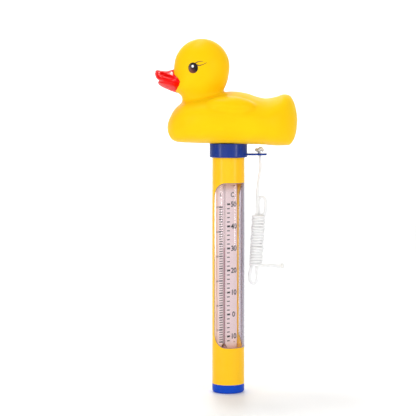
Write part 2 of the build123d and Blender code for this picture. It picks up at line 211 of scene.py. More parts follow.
# ---------------------------------------------------------------- cord
CORD_D = 2.0 * MM
KNOT_LIFT = 2.6 * MM
KNOT_CENTRE = LUG_UNDERSIDE + 1.3 * MM + KNOT_LIFT
HANK_TOP = 122.6 * MM
HANK_FOOT = 86.4 * MM
HANK_AXIS = [(HANK_FOOT, 18.6 * MM), (105.5 * MM, 19.66 * MM), (HANK_TOP, 20.8 * MM)]
WRAP_HALF_WIDTH = 3.6 * MM
WRAP_HALF_DEPTH = 2.6 * MM
WRAP_PITCH = 1.92 * MM
POINTS_PER_WRAP = 14
KNOT_POINTS = 20
KNOT_START = 25
KNOT_SWEEP = 268
KNOT_SCALE = 0.7
KNOT_RISE = 0.95


def hank_axis(z):
    """How far out the hank's middle lies at a height."""
    return float(smooth_through(HANK_AXIS, np.array([z]))[0])


def knot_points():
    """Overhand knot, pulled snug: an opened trefoil that ends in the lug's hole."""
    points = []
    for n in range(KNOT_POINTS):
        t = math.radians(KNOT_START + n * KNOT_SWEEP / (KNOT_POINTS - 1))
        across = (math.sin(t) + 2 * math.sin(2 * t)) * KNOT_SCALE
        away = (math.cos(t) - 2 * math.cos(2 * t)) * KNOT_SCALE
        up = -math.sin(3 * t) * KNOT_RISE
        points.append((LUG_X + across * MM, away * MM, KNOT_CENTRE + up * MM))
    return points


def wrap_points():
    """The wraps round the hank, from its top to its foot, a little uneven."""
    turns = (HANK_TOP - HANK_FOOT - CORD_D) / WRAP_PITCH
    turns = math.floor(turns) + 0.75
    count = int(turns * POINTS_PER_WRAP) + 1
    points = []
    for n in range(count):
        turn = n / POINTS_PER_WRAP
        angle = 2 * math.pi * turn
        z = HANK_TOP - CORD_D / 2 - turn * (HANK_TOP - HANK_FOOT - CORD_D) / turns
        z += (0.35 + 0.3 * math.sin(0.9 * turn)) * MM * math.cos(angle + 0.6)
        swell = 1 + 0.05 * math.sin(1.7 * turn) + 0.04 * math.sin(4.3 * turn + 1)
        x = hank_axis(z) + WRAP_HALF_WIDTH * swell * math.cos(angle)
        points.append((x, WRAP_HALF_DEPTH * swell * math.sin(angle), z))
    return points


RUN = [
    (18.8, 0.7, 166.1),
    (18.9, -0.5, 165.7),
    (20.2, -0.8, 165.0),
    (21.2, -0.2, 163.9),
    (21.3, 0.1, 161.0),
    (22.1, 0.2, 153.8),
    (20.7, -0.2, 147.2),
    (19.9, 0.1, 139.6),
    (19.5, 0.0, 131.6),
    (19.6, -0.3, 124.5),
]
CORE_DOWN = [(19.0, -0.2, 116.0), (18.5, -0.1, 107.0), (17.6, 0.0, 98.0), (16.8, 0.0, 90.0)]
BOTTOM_LOOP = [
    (15.2, 0.0, 84.6),
    (14.3, 0.2, 80.0),
    (14.8, 0.2, 75.8),
    (17.5, 0.3, 74.0),
    (19.6, 0.4, 76.6),
    (19.7, 0.4, 80.8),
    (19.3, 0.3, 85.6),
]
CORE_UP = [(19.5, 0.3, 92.5), (20.2, 0.2, 101.5), (20.9, 0.2, 110.5), (21.3, 0.6, 118.5)]
TOP_LOOP = [
    (20.6, 1.7, 124.4),
    (20.1, 1.8, 129.4),
    (20.7, 1.4, 132.8),
    (22.8, 0.8, 134.0),
    (25.1, 0.4, 132.2),
    (25.5, 0.2, 128.8),
    (25.3, -0.2, 125.6),
    (24.9, 0.4, 123.4),
]
TAIL = [
    (21.0, -3.0, 87.4),
    (25.0, -1.7, 86.6),
    (30.0, -0.6, 87.2),
    (34.0, 0.0, 86.2),
    (37.4, 0.2, 86.6),
]


def in_metres(points):
    """Points given in millimetres, in metres."""
    return [tuple(c * MM for c in p) for p in points]


def spline_line(name, points):
    """Points along the smooth NURBS line that has these control points."""
    curve = bpy.data.curves.new(name, "CURVE")
    curve.dimensions = "3D"
    spline = curve.splines.new("NURBS")
    spline.points.add(len(points) - 1)
    for control, point in zip(spline.points, points):
        control.co = (*point, 1.0)
    spline.order_u = 3
    spline.use_endpoint_u = True
    curve.resolution_u = 8
    bare = bpy.data.objects.new(name, curve)
    mesh = bpy.data.meshes.new_from_object(bare)
    line = np.array([v.co for v in mesh.vertices], float)
    bpy.data.objects.remove(bare)
    bpy.data.curves.remove(curve)
    bpy.data.meshes.remove(mesh)
    return line


def evenly(line, step):
    """The line again with points about step apart."""
    along = np.concatenate([[0], np.cumsum(np.linalg.norm(np.diff(line, axis=0), axis=1))])
    at = np.linspace(0, along[-1], int(math.ceil(along[-1] / step)) + 1)
    return np.stack([np.interp(at, along, line[:, k]) for k in range(3)], axis=1), along[-1]


BRAID_CORE = 0.955
BRAID_RELIEF = 0.065


def braided_tube(name, line, radius, sides=20, step=0.32 * MM, carriers=8, lay=5.2 * MM):
    """Tube along a line with the relief of a round braid, closed by rounded ends."""
    line, length = evenly(line, step)
    count = len(line)
    tangent = np.gradient(line, axis=0)
    tangent /= np.linalg.norm(tangent, axis=1)[:, None]
    side = np.zeros_like(tangent)
    side[0] = np.cross(tangent[0], (0.3, 1.0, 0.1))
    side[0] /= np.linalg.norm(side[0])
    for n in range(1, count):
        kept = side[n - 1] - tangent[n] * (side[n - 1] @ tangent[n])
        side[n] = kept / np.linalg.norm(kept)
    other = np.cross(tangent, side)
    along = np.linspace(0, length, count)
    turn = 2 * math.pi * np.arange(sides) / sides
    phase = 2 * math.pi * along[:, None] / lay
    one_way = np.cos(carriers / 2 * turn[None, :] + phase)
    other_way = np.cos(carriers / 2 * turn[None, :] - phase)
    relief = np.maximum(one_way, other_way)
    reach = radius * (BRAID_CORE + BRAID_RELIEF * relief)
    from_end = np.minimum(along, length - along)
    rounding = np.sqrt(np.clip(1 - (1 - np.clip(from_end / radius, 0, 1)) ** 2, 0.02, 1))
    reach = reach * rounding[:, None]
    points = (
        line[:, None, :]
        + reach[..., None] * np.cos(turn)[None, :, None] * side[:, None, :]
        + reach[..., None] * np.sin(turn)[None, :, None] * other[:, None, :]
    ).reshape(-1, 3)
    faces = [face[::-1] for face in grid_faces(count, sides)]
    faces.append(tuple(range(sides)))
    faces.append(tuple(reversed(range((count - 1) * sides, count * sides))))
    return mesh_piece(name, points, faces), line


cord_control = (
    knot_points()
    + in_metres(RUN)
    + in_metres(CORE_DOWN)
    + in_metres(BOTTOM_LOOP)
    + in_metres(CORE_UP)
    + in_metres(TOP_LOOP)
    + wrap_points()
    + in_metres(TAIL)
)
cord_line = spline_line("cord_line", cord_control)
cord, cord_path = braided_tube("tether_cord", cord_line, CORD_D / 2)

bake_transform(cord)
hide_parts("stop_knot", "cord_run", "cord_hank", "cord_tail")


def end_bead():
    """The cord's end, melted into a lumpy bead round the line's last point."""
    rings, sides = 18, 24
    tip = cord_path[-1]
    heading = cord_path[-1] - cord_path[-8]
    heading /= np.linalg.norm(heading)
    side = np.cross(heading, (0, 1, 0))
    side /= np.linalg.norm(side)
    other = np.cross(heading, side)
    points = []
    for ring in range(rings):
        lean = math.pi * ring / (rings - 1)
        for n in range(sides):
            turn = 2 * math.pi * n / sides
            lump = 1 + 0.09 * math.sin(3 * turn + 1) * math.sin(lean) + 0.06 * math.cos(2 * lean)
            across = 1.72 * MM * lump * max(math.sin(lean), 0.004)
            points.append(
                tip
                + heading * (-0.6 * MM - 1.25 * MM * math.cos(lean))
                + side * across * math.cos(turn)
                + other * across * math.sin(turn)
            )
    faces = grid_faces(rings, sides)
    faces.append(tuple(reversed(range(sides))))
    faces.append(tuple(range((rings - 1) * sides, rings * sides)))
    return mesh_piece("cord_bead", points, faces)


bead = end_bead()
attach(bead, "tether")
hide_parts("cord_end_bead")


def braid_material(name, tone):
    """Bright white nylon, faintly greyer in random fibre streaks."""
    material, nodes, links, shader = new_material(
        name,
        Roughness=0.62,
        Subsurface_Weight=0.2,
        Subsurface_Radius=(1.0, 1.0, 1.0),
        Subsurface_Scale=0.001,
    )
    fibre = noise(nodes, links, 2600.0, 4.0, 0.6, (1, 1, 0.35))
    soft = (tone * 0.94, tone * 0.94, tone * 0.95)
    bright = (tone, tone, tone * 0.995)
    links.new(ramp(nodes, links, fibre, [(0.3, soft), (0.65, bright)]), shader.inputs["Base Color"])
    bump(nodes, links, shader, fibre, 0.35, 0.08 * MM)
    return material


give(cord, braid_material("braided_nylon", 0.85))
give(bead, moulded("melted_nylon", (0.78, 0.77, 0.75), (0.86, 0.86, 0.84), 0.3, 0.5))


# ---------------------------------------------------------------- implicit shapes
# The duck's fields take points in millimetres from the duck's base on the
# tube's axis, and are below zero inside.
def smooth_union(a, b, blend_width):
    """Field of two forms that flow into each other over a width."""
    mix = np.clip(0.5 + 0.5 * (b - a) / blend_width, 0, 1)
    return b * (1 - mix) + a * mix - blend_width * mix * (1 - mix)


def ellipsoid(x, y, z, centre, radii):
    """Field of an ellipsoid, close to the distance near its surface."""
    dx, dy, dz = x - centre[0], y - centre[1], z - centre[2]
    inner = np.sqrt((dx / radii[0]) ** 2 + (dy / radii[1]) ** 2 + (dz / radii[2]) ** 2)
    outer = np.sqrt(
        (dx / radii[0] ** 2) ** 2 + (dy / radii[1] ** 2) ** 2 + (dz / radii[2] ** 2) ** 2
    )
    return inner * (inner - 1) / np.maximum(outer, 1e-6)


def cylinder(x, y, z, radius, top):
    """Field of an upright cylinder on the tube's axis, below a height."""
    return np.maximum(np.sqrt(x * x + y * y) - radius, z - top)


def surface_of(field, low, high, step, rounds=3):
    """Closed quad mesh where a field is zero: dual cells, then slid onto the surface."""
    counts = [int(math.ceil((high[k] - low[k]) / step)) + 1 for k in range(3)]
    axes = [low[k] + step * np.arange(counts[k]) for k in range(3)]
    gx, gy, gz = np.meshgrid(*axes, indexing="ij")
    value = field(gx, gy, gz)
    inside = value < 0
    nx, ny, nz = counts
    total = np.zeros((nx - 1, ny - 1, nz - 1, 3))
    crossings = np.zeros((nx - 1, ny - 1, nz - 1))
    corners = [(i, j, k) for i in (0, 1) for j in (0, 1) for k in (0, 1)]
    for a in corners:
        for axis in range(3):
            if a[axis] == 1:
                continue
            b = tuple(a[k] + (k == axis) for k in range(3))
            va = value[a[0] : nx - 1 + a[0], a[1] : ny - 1 + a[1], a[2] : nz - 1 + a[2]]
            vb = value[b[0] : nx - 1 + b[0], b[1] : ny - 1 + b[1], b[2] : nz - 1 + b[2]]
            cut = (va < 0) != (vb < 0)
            share = np.where(cut, va / np.where(cut, va - vb, 1.0), 0.0)
            for k in range(3):
                total[..., k] += np.where(cut, a[k] + share * (k == axis), 0.0)
            crossings += cut
    active = crossings > 0
    index = np.full(active.shape, -1)
    index[active] = np.arange(active.sum())
    cells = np.argwhere(active)
    points = cells + total[active] / crossings[active][:, None]
    points = np.array(low) + step * points
    faces = []
    for axis in range(3):
        u, v = [k for k in range(3) if k != axis]
        here = [slice(None)] * 3
        there = [slice(None)] * 3
        here[axis], there[axis] = slice(0, -1), slice(1, None)
        cut = inside[tuple(here)] != inside[tuple(there)]
        starts_inside = inside[tuple(here)]
        edges = np.argwhere(cut)
        edges = edges[(edges[:, u] > 0) & (edges[:, v] > 0)]
        around = []
        for du, dv in ((1, 1), (0, 1), (0, 0), (1, 0)):
            cell = edges.copy()
            cell[:, u] -= du
            cell[:, v] -= dv
            around.append(index[cell[:, 0], cell[:, 1], cell[:, 2]])
        quads = np.stack(around, axis=1)
        outward = starts_inside[edges[:, 0], edges[:, 1], edges[:, 2]]
        if axis == 1:
            outward = ~outward
        quads[~outward] = quads[~outward][:, ::-1]
        faces.append(quads)
    faces = np.concatenate(faces)
    pairs = np.concatenate([faces[:, [k, (k + 1) % 4]] for k in range(4)])
    pairs = np.unique(np.sort(pairs, axis=1), axis=0)
    degree = np.bincount(pairs.ravel(), minlength=len(points))[:, None]
    for _ in range(rounds):
        near = np.zeros_like(points)
        np.add.at(near, pairs[:, 0], points[pairs[:, 1]])
        np.add.at(near, pairs[:, 1], points[pairs[:, 0]])
        points = 0.5 * points + 0.5 * near / degree
        points = settle(field, points, 2, 0.5 * step)
    return points, faces


def slope_of(field, points, reach=0.03):
    """Gradient of a field at points."""
    steps = np.eye(3) * reach
    return np.stack(
        [(field(*(points + s).T) - field(*(points - s).T)) / (2 * reach) for s in steps], axis=1
    )


def settle(field, points, rounds, most):
    """Points slid along the field's slope onto its surface."""
    for _ in range(rounds):
        slope = slope_of(field, points)
        size = np.maximum((slope**2).sum(1), 1e-6)
        shift = -(field(*points.T) / size)[:, None] * slope
        length = np.maximum(np.linalg.norm(shift, axis=1), 1e-9)[:, None]
        points = points + shift * np.minimum(1, most / length)
    return points


def duck_place(points):
    """Millimetres from the duck's base to metres in the frame."""
    return np.array(points) * MM + np.array([0, 0, DUCK_BASE])


def round_ended(knots, x, ends):
    """Smooth curve through knots that meets a form's two ends at right angles."""
    middle, reach = (ends[0] + ends[1]) / 2, (ends[1] - ends[0]) / 2
    share = np.clip((x - middle) / reach, -1, 1)
    places = [(math.asin(max(-1, min(1, (k - middle) / reach))), v) for k, v in knots]
    return smooth_through(places, np.arcsin(share))


def long_form(place, ends, profiles, powers, waist=None):
    """Field of a form along x from its top, underside and half-width knots.

    Its sections are widest at the waist, halfway up unless knots say where. The
    powers say how square they are above and below it.
    """
    x, y, z = place
    top, under, half_width = [round_ended(knots, x, ends) for knots in profiles]
    middle = (top + under) / 2 if waist is None else round_ended(waist, x, ends)
    half_width = np.maximum(half_width, 0.4)
    rise = np.maximum(top - middle, 0.4)
    fall = np.maximum(middle - under, 0.4)
    lift = np.where(z > middle, (z - middle) / rise, (z - middle) / fall)
    above = 0.5 + 0.5 * np.tanh(2.5 * lift)
    power = powers[0] * above + powers[1] * (1 - above)
    reach = (np.abs(y / half_width) ** power + np.abs(lift) ** power) ** (1 / power)
    beyond = np.maximum(np.maximum(ends[0] - x, x - ends[1]), 0)
    return (reach - 1) * np.minimum(half_width, np.minimum(rise, fall)) + beyond


# ---------------------------------------------------------------- duck's shape
BODY_FRONT = -41.4
BODY_REAR = 46.6
# (place along the body, rise of the back)
BODY_BACK = [
    (-41.4, 10.8),
    (-40.0, 16.8),
    (-36.0, 23.6),
    (-30.0, 28.2),
    (-20.0, 31.4),
    (-8.0, 34.0),
    (3.0, 35.1),
    (12.0, 33.9),
    (19.0, 31.6),
    (25.0, 30.4),
    (31.0, 31.2),
    (38.0, 33.2),
    (41.0, 32.6),
    (44.0, 28.6),
    (45.9, 22.4),
    (46.6, 15.8),
]
# (place along the body, rise of the underside)
BODY_UNDERSIDE = [
    (-41.4, 10.8),
    (-40.6, 6.2),
    (-38.4, 2.6),
    (-34.5, 0.9),
    (-26.0, 0.3),
    (0.0, -0.3),
    (14.0, -0.6),
    (24.0, -0.9),
    (33.0, -1.6),
    (40.5, -1.4),
    (44.0, 2.0),
    (45.9, 7.6),
    (46.6, 15.8),
]
# (place along the body, half width)
BODY_HALF_WIDTH = [
    (-41.4, 0.0),
    (-40.2, 9.0),
    (-36.0, 18.2),
    (-28.0, 25.4),
    (-16.0, 30.0),
    (0.0, 31.6),
    (14.0, 31.0),
    (26.0, 28.6),
    (36.0, 23.6),
    (42.5, 15.6),
    (45.8, 7.4),
    (46.6, 0.0),
]


def body_field(x, y, z):
    """The body, its back more peaked in section behind the neck."""
    peak = 0.42 * np.exp(-(((x - 13) / 17) ** 2))
    return long_form(
        (x, y, z),
        (BODY_FRONT, BODY_REAR),
        (BODY_BACK, BODY_UNDERSIDE, BODY_HALF_WIDTH),
        (2.2 - peak, 2.45),
    )


# Each form's centre and radii
HEAD = ((-18.0, 0, 51.7), (18.75, 18.75, 18.85))
CHEEKS = ((-20.2, 0, 41.2), (17.4, 15.8, 11.4))
CHIN = ((-29.6, 0, 37.2), (8.0, 7.0, 3.9))
WING = ((0, 21.6, 0), (16.6, 10.4, 6.6))
WING_X = 1.6
WING_RISE = 25.2
WING_TILT = math.radians(-4)
NECK_X = -17.8
NECK_R = 13.6
NECK_MIDDLE = 31
NECK_HALF_HEIGHT = 9
COLLAR_R = 12.9
COLLAR_PLAY = 0.4
RECESS_TOP = 0.02
SOCKET_R = 7.9
SOCKET_TOP = 14.0


def wing_field(x, y, z):
    """Both folded wings, tipped down a little towards the tail."""
    along = (x - WING_X) * math.cos(WING_TILT) + (z - WING_RISE) * math.sin(WING_TILT)
    up = -(x - WING_X) * math.sin(WING_TILT) + (z - WING_RISE) * math.cos(WING_TILT)
    return ellipsoid(along, np.abs(y), up, *WING)


def duck_field(x, y, z):
    """Outside of the duck, with the socket that takes the cap's spigot."""
    body = smooth_union(body_field(x, y, z), wing_field(x, y, z), 1.5)
    head = smooth_union(ellipsoid(x, y, z, *HEAD), ellipsoid(x, y, z, *CHEEKS), 6.0)
    head = smooth_union(head, ellipsoid(x, y, z, *CHIN), 1.2)
    from_axis = np.sqrt((x - NECK_X) ** 2 + y * y) - NECK_R
    neck = np.maximum(from_axis, np.abs(z - NECK_MIDDLE) - NECK_HALF_HEIGHT)
    head = smooth_union(head, neck, 2.6)
    duck = smooth_union(body, head, 2.0)
    recess = cylinder(x, y, z, COLLAR_R + COLLAR_PLAY, RECESS_TOP)
    socket = cylinder(x, y, z, SOCKET_R, SOCKET_TOP)
    return np.maximum(duck, -np.minimum(recess, socket))


SKIN_STEP = 1.0
skin_points, skin_faces = surface_of(
    duck_field, (-46.0, -38.0, -5.0), (51.0, 38.0, 75.0), SKIN_STEP
)
duck = mesh_piece("duck_skin", duck_place(skin_points), skin_faces)
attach(duck, "duck")
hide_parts("duck_shell")


# ---------------------------------------------------------------- bill
UPPER_ENDS = (-49.8, -24.0)
UPPER_TOP = [
    (-49.8, 46.9),
    (-49.3, 49.0),
    (-48.2, 49.6),
    (-45.5, 49.2),
    (-41.5, 48.9),
    (-38.0, 49.8),
    (-34.0, 51.0),
    (-26.0, 50.0),
    (-24.0, 45.0),
]
UPPER_WAIST = [
    (-49.8, 46.9),
    (-49.3, 45.8),
    (-48.2, 44.6),
    (-46.0, 43.5),
    (-42.0, 42.5),
    (-36.0, 42.0),
    (-26.0, 42.4),
    (-24.0, 45.0),
]
UPPER_MOUTH = [
    (-49.8, 46.9),
    (-49.5, 45.2),
    (-48.7, 43.6),
    (-46.5, 42.1),
    (-42.0, 41.0),
    (-36.0, 40.4),
    (-26.0, 41.0),
    (-24.0, 45.0),
]
UPPER_HALF_WIDTH = [
    (-49.8, 0.0),
    (-49.2, 4.8),
    (-47.4, 8.6),
    (-44.5, 10.9),
    (-40.5, 12.0),
    (-35.5, 12.0),
    (-31.0, 10.8),
    (-26.0, 6.0),
    (-24.0, 0.0),
]
LOWER_ENDS = (-47.8, -24.0)
LOWER_TOP = [
    (-47.8, 40.9),
    (-47.4, 41.9),
    (-46.0, 42.6),
    (-42.0, 42.8),
    (-34.0, 42.8),
    (-26.0, 42.0),
    (-24.0, 38.0),
]
LOWER_WAIST = [
    (-47.8, 40.9),
    (-47.1, 41.0),
    (-45.0, 41.1),
    (-40.0, 41.0),
    (-34.0, 40.8),
    (-26.0, 40.0),
    (-24.0, 38.0),
]
LOWER_UNDER = [
    (-47.8, 40.9),
    (-47.4, 39.8),
    (-46.2, 38.7),
    (-42.0, 36.6),
    (-36.4, 34.4),
    (-31.0, 33.2),
    (-26.0, 34.2),
    (-24.0, 38.0),
]
LOWER_HALF_WIDTH = [
    (-47.8, 0.0),
    (-47.1, 4.2),
    (-45.0, 8.0),
    (-41.5, 10.6),
    (-36.5, 11.8),
    (-31.0, 10.6),
    (-26.0, 6.0),
    (-24.0, 0.0),
]


# The crease's front end and how far it runs back and falls
CREASE_X = -45.0
CREASE_RISE = 46.7
CREASE_RUN = 8.0
CREASE_FALL = 3.0


def bill_field(x, y, z):
    """Two mandibles with a mouth line, and a crease along the upper one's flanks."""
    place = (x, y, z)
    roof = 1.0 + 0.6 * np.clip((-38.0 - x) / 8, 0, 1)
    upper = long_form(
        place, UPPER_ENDS, (UPPER_TOP, UPPER_MOUTH, UPPER_HALF_WIDTH), (roof, 2.2), UPPER_WAIST
    )
    lower = long_form(
        place, LOWER_ENDS, (LOWER_TOP, LOWER_UNDER, LOWER_HALF_WIDTH), (2.2, 1.2), LOWER_WAIST
    )
    both = smooth_union(upper, lower, 0.8)
    from_x, from_z = x - CREASE_X, z - CREASE_RISE
    share = (from_x * CREASE_RUN - from_z * CREASE_FALL) / (CREASE_RUN**2 + CREASE_FALL**2)
    share = np.clip(share, 0, 1)
    away = np.hypot(from_x - CREASE_RUN * share, from_z + CREASE_FALL * share)
    flank = np.clip((np.abs(y) - 2) / 3, 0, 1)
    return both + 0.55 * np.exp(-((away / 0.8) ** 2)) * flank * (1 - 0.6 * share)


bill_points, bill_faces = surface_of(bill_field, (-52.0, -15.0, 32.0), (-22.0, 15.0, 53.0), 0.5)
bill = mesh_piece("duck_bill", duck_place(bill_points), bill_faces)
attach(bill, "duck")
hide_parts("bill")


# ---------------------------------------------------------------- eyes and lashes
EYE_X = -24.1
EYE_RISE = 50.7
EYE_R = 3.75
# How far to the side the prints' points start before they are slid onto the skin
HEAD_SIDE = 17.8
LASH_SIDE = 17.5


def on_skin(points, lift):
    """Points slid onto the duck's skin and lifted off it."""
    points = settle(duck_field, np.array(points, float), 6, 2.0)
    slope = slope_of(duck_field, points)
    return points + slope / np.linalg.norm(slope, axis=1)[:, None] * np.array(lift)[:, None]


def skin_disc(name, side, across, up, radius, lift):
    """Thin domed disc of print on the skin, seen square on from the side."""
    rings, sides = 9, 40
    points = [(EYE_X + across, side * HEAD_SIDE, EYE_RISE + up)]
    lifts = [lift * 1.25]
    for ring in range(1, rings + 1):
        share = ring / rings
        for n in range(sides):
            turn = 2 * math.pi * n / sides
            points.append(
                (
                    EYE_X + across + radius * share * math.cos(turn),
                    side * HEAD_SIDE,
                    EYE_RISE + up + radius * share * math.sin(turn),
                )
            )
            lifts.append(lift * (1.25 - 0.25 * share**2) if ring < rings else -0.08)
    points = on_skin(points, lifts)
    faces = [(0, 1 + n, 1 + (n + 1) % sides) for n in range(sides)]
    for face in grid_faces(rings, sides):
        faces.append(tuple(i + 1 for i in reversed(face)))
    if side > 0:
        faces = [tuple(reversed(f)) for f in faces]
    piece = mesh_piece(name, duck_place(points), faces)
    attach(piece, "duck")
    return piece


def skin_stroke(name, side, path, widths):
    """Thin tapering brush stroke on the skin along (across, up) points from the eye."""
    count = 26
    t = np.linspace(0, 1, count)
    knots = np.linspace(0, 1, len(path))
    px = smooth_through(list(zip(knots, [p[0] for p in path])), t)
    pz = smooth_through(list(zip(knots, [p[1] for p in path])), t)
    width = np.interp(t, np.linspace(0, 1, len(widths)), widths)
    heading = np.stack([np.gradient(px), np.gradient(pz)], axis=1)
    heading /= np.linalg.norm(heading, axis=1)[:, None]
    points, lifts = [], []
    columns = 5
    for n in range(count):
        for c in range(columns):
            off = (c / (columns - 1) - 0.5) * width[n]
            points.append(
                (
                    EYE_X + px[n] - heading[n][1] * off,
                    side * LASH_SIDE,
                    EYE_RISE + pz[n] + heading[n][0] * off,
                )
            )
            lifts.append(-0.05 if c in (0, columns - 1) else 0.09)
    points = on_skin(points, lifts)
    faces = grid_faces(count, columns, closed=False)
    if side < 0:
        faces = [tuple(reversed(f)) for f in faces]
    piece = mesh_piece(name, duck_place(points), faces)
    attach(piece, "duck")
    return piece


EYE_SLANT = 0.8
EYE_SPREAD = 4.2 * MM


def eye_material():
    """Dark glossy print: brown at the lower rim in front, dark red above that, then black."""
    material, nodes, links, shader = new_material(
        "eye_print", Roughness=0.16, Specular_IOR_Level=0.2
    )
    place = nodes.new("ShaderNodeTexCoord")
    split = nodes.new("ShaderNodeSeparateXYZ")
    links.new(place.outputs["Object"], split.inputs["Vector"])
    slant = nodes.new("ShaderNodeMath")
    slant.operation = "MULTIPLY_ADD"
    slant.inputs[1].default_value = EYE_SLANT
    links.new(split.outputs["X"], slant.inputs[0])
    links.new(split.outputs["Z"], slant.inputs[2])
    spread = nodes.new("ShaderNodeMapRange")
    middle = EYE_X * MM * EYE_SLANT + DUCK_BASE + EYE_RISE * MM
    spread.inputs["From Min"].default_value = middle - EYE_SPREAD
    spread.inputs["From Max"].default_value = middle + EYE_SPREAD
    links.new(slant.outputs["Value"], spread.inputs["Value"])
    tint = ramp(
        nodes,
        links,
        spread.outputs["Result"],
        [(0.0, (0.24, 0.07, 0.025)), (0.3, (0.09, 0.025, 0.022)), (0.55, (0.008, 0.004, 0.005))],
    )
    links.new(tint, shader.inputs["Base Color"])
    bump(nodes, links, shader, noise(nodes, links, 1800.0), 0.05, 0.04 * MM)
    return material


eye_print = eye_material()
lash_print = moulded("lash_print", (0.10, 0.035, 0.01), (0.16, 0.06, 0.015), 0.3, 0.5)
glint_print = moulded("glint_print", (0.9, 0.9, 0.9), (0.97, 0.97, 0.97), 0.2, 0.4)
# Each lash's (across, up) points from the eye; all lashes taper alike
LASH_PATHS = [
    [(1.6, 2.9), (3.4, 3.8), (5.2, 4.2), (7.0, 4.2)],
    [(2.9, 1.9), (4.6, 1.6), (6.6, 2.1), (9.2, 3.4)],
]
LASH_WIDTHS = [0.95, 0.6, 0.25]
for side, hand in ((-1, "right"), (1, "left")):
    eye = skin_disc(f"{hand}_eye_print", side, 0, 0, EYE_R, 0.22)
    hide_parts(f"{hand}_eye")
    give(eye, eye_print)
    glint = skin_disc(f"{hand}_eye_glint", side, 0.05, 1.1, 0.95, 0.34)
    give(glint, glint_print)
    for n, path in enumerate(LASH_PATHS):
        lash = skin_stroke(f"{hand}_lash_{n + 1}", side, path, LASH_WIDTHS)
        give(lash, lash_print)


# ---------------------------------------------------------------- vinyl and paint
def vinyl_material():
    """Soft yellow vinyl: slight glow through it, satin gloss and faint mould texture."""
    material, nodes, links, shader = new_material(
        "duck_vinyl",
        Subsurface_Weight=0.15,
        Subsurface_Radius=(1.0, 0.40, 0.05),
        Subsurface_Scale=0.004,
        Specular_IOR_Level=0.05,
    )
    drift = noise(nodes, links, 28.0, 3.0)
    warm = (0.985, 0.555, 0.003)
    fresh = (0.99, 0.600, 0.004)
    links.new(ramp(nodes, links, drift, [(0.32, warm), (0.68, fresh)]), shader.inputs["Base Color"])
    gloss = noise(nodes, links, 140.0, 4.0)
    links.new(ramp(nodes, links, gloss, [(0.3, 0.34), (0.7, 0.44)]), shader.inputs["Roughness"])
    bump(nodes, links, shader, noise(nodes, links, 1300.0, 5.0), 0.10, 0.07 * MM)
    return material


def bill_paint_material():
    """Glossy red paint with faint brush unevenness."""
    material, nodes, links, shader = new_material(
        "bill_paint",
        Specular_IOR_Level=0.15,
        Subsurface_Weight=0.05,
        Subsurface_Radius=(1.0, 0.1, 0.05),
        Subsurface_Scale=0.002,
    )
    drift = noise(nodes, links, 90.0, 3.0)
    deep = (0.80, 0.001, 0.001)
    bright = (0.87, 0.003, 0.002)
    links.new(ramp(nodes, links, drift, [(0.3, deep), (0.7, bright)]), shader.inputs["Base Color"])
    gloss = noise(nodes, links, 260.0, 4.0)
    links.new(ramp(nodes, links, gloss, [(0.3, 0.10), (0.7, 0.16)]), shader.inputs["Roughness"])
    bump(nodes, links, shader, noise(nodes, links, 420.0, 3.0, 0.4, (0.35, 1, 1)), 0.16, 0.1 * MM)
    return material


give(duck, vinyl_material())
give(bill, bill_paint_material())


# ---------------------------------------------------------------- tube, caps and window
WINDOW_GAP = 0.12 * MM
WINDOW_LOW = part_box("window_lens")[0].z - WINDOW_GAP
WINDOW_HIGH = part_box("window_lens")[1].z + WINDOW_GAP


def tinted_clear(name, tint, rough, index):
    """Clear plastic with faint uneven gloss."""
    material, nodes, links, shader = new_material(name, Transmission_Weight=1.0, IOR=index)
    drift = noise(nodes, links, 60.0)
    colour = ramp(nodes, links, drift, [(0.3, tint), (0.7, tuple(min(1, c * 1.02) for c in tint))])
    links.new(colour, shader.inputs["Base Color"])
    gloss = noise(nodes, links, 220.0, 4.0)
    links.new(
        ramp(nodes, links, gloss, [(0.3, rough), (0.7, rough * 1.3)]), shader.inputs["Roughness"]
    )
    return material


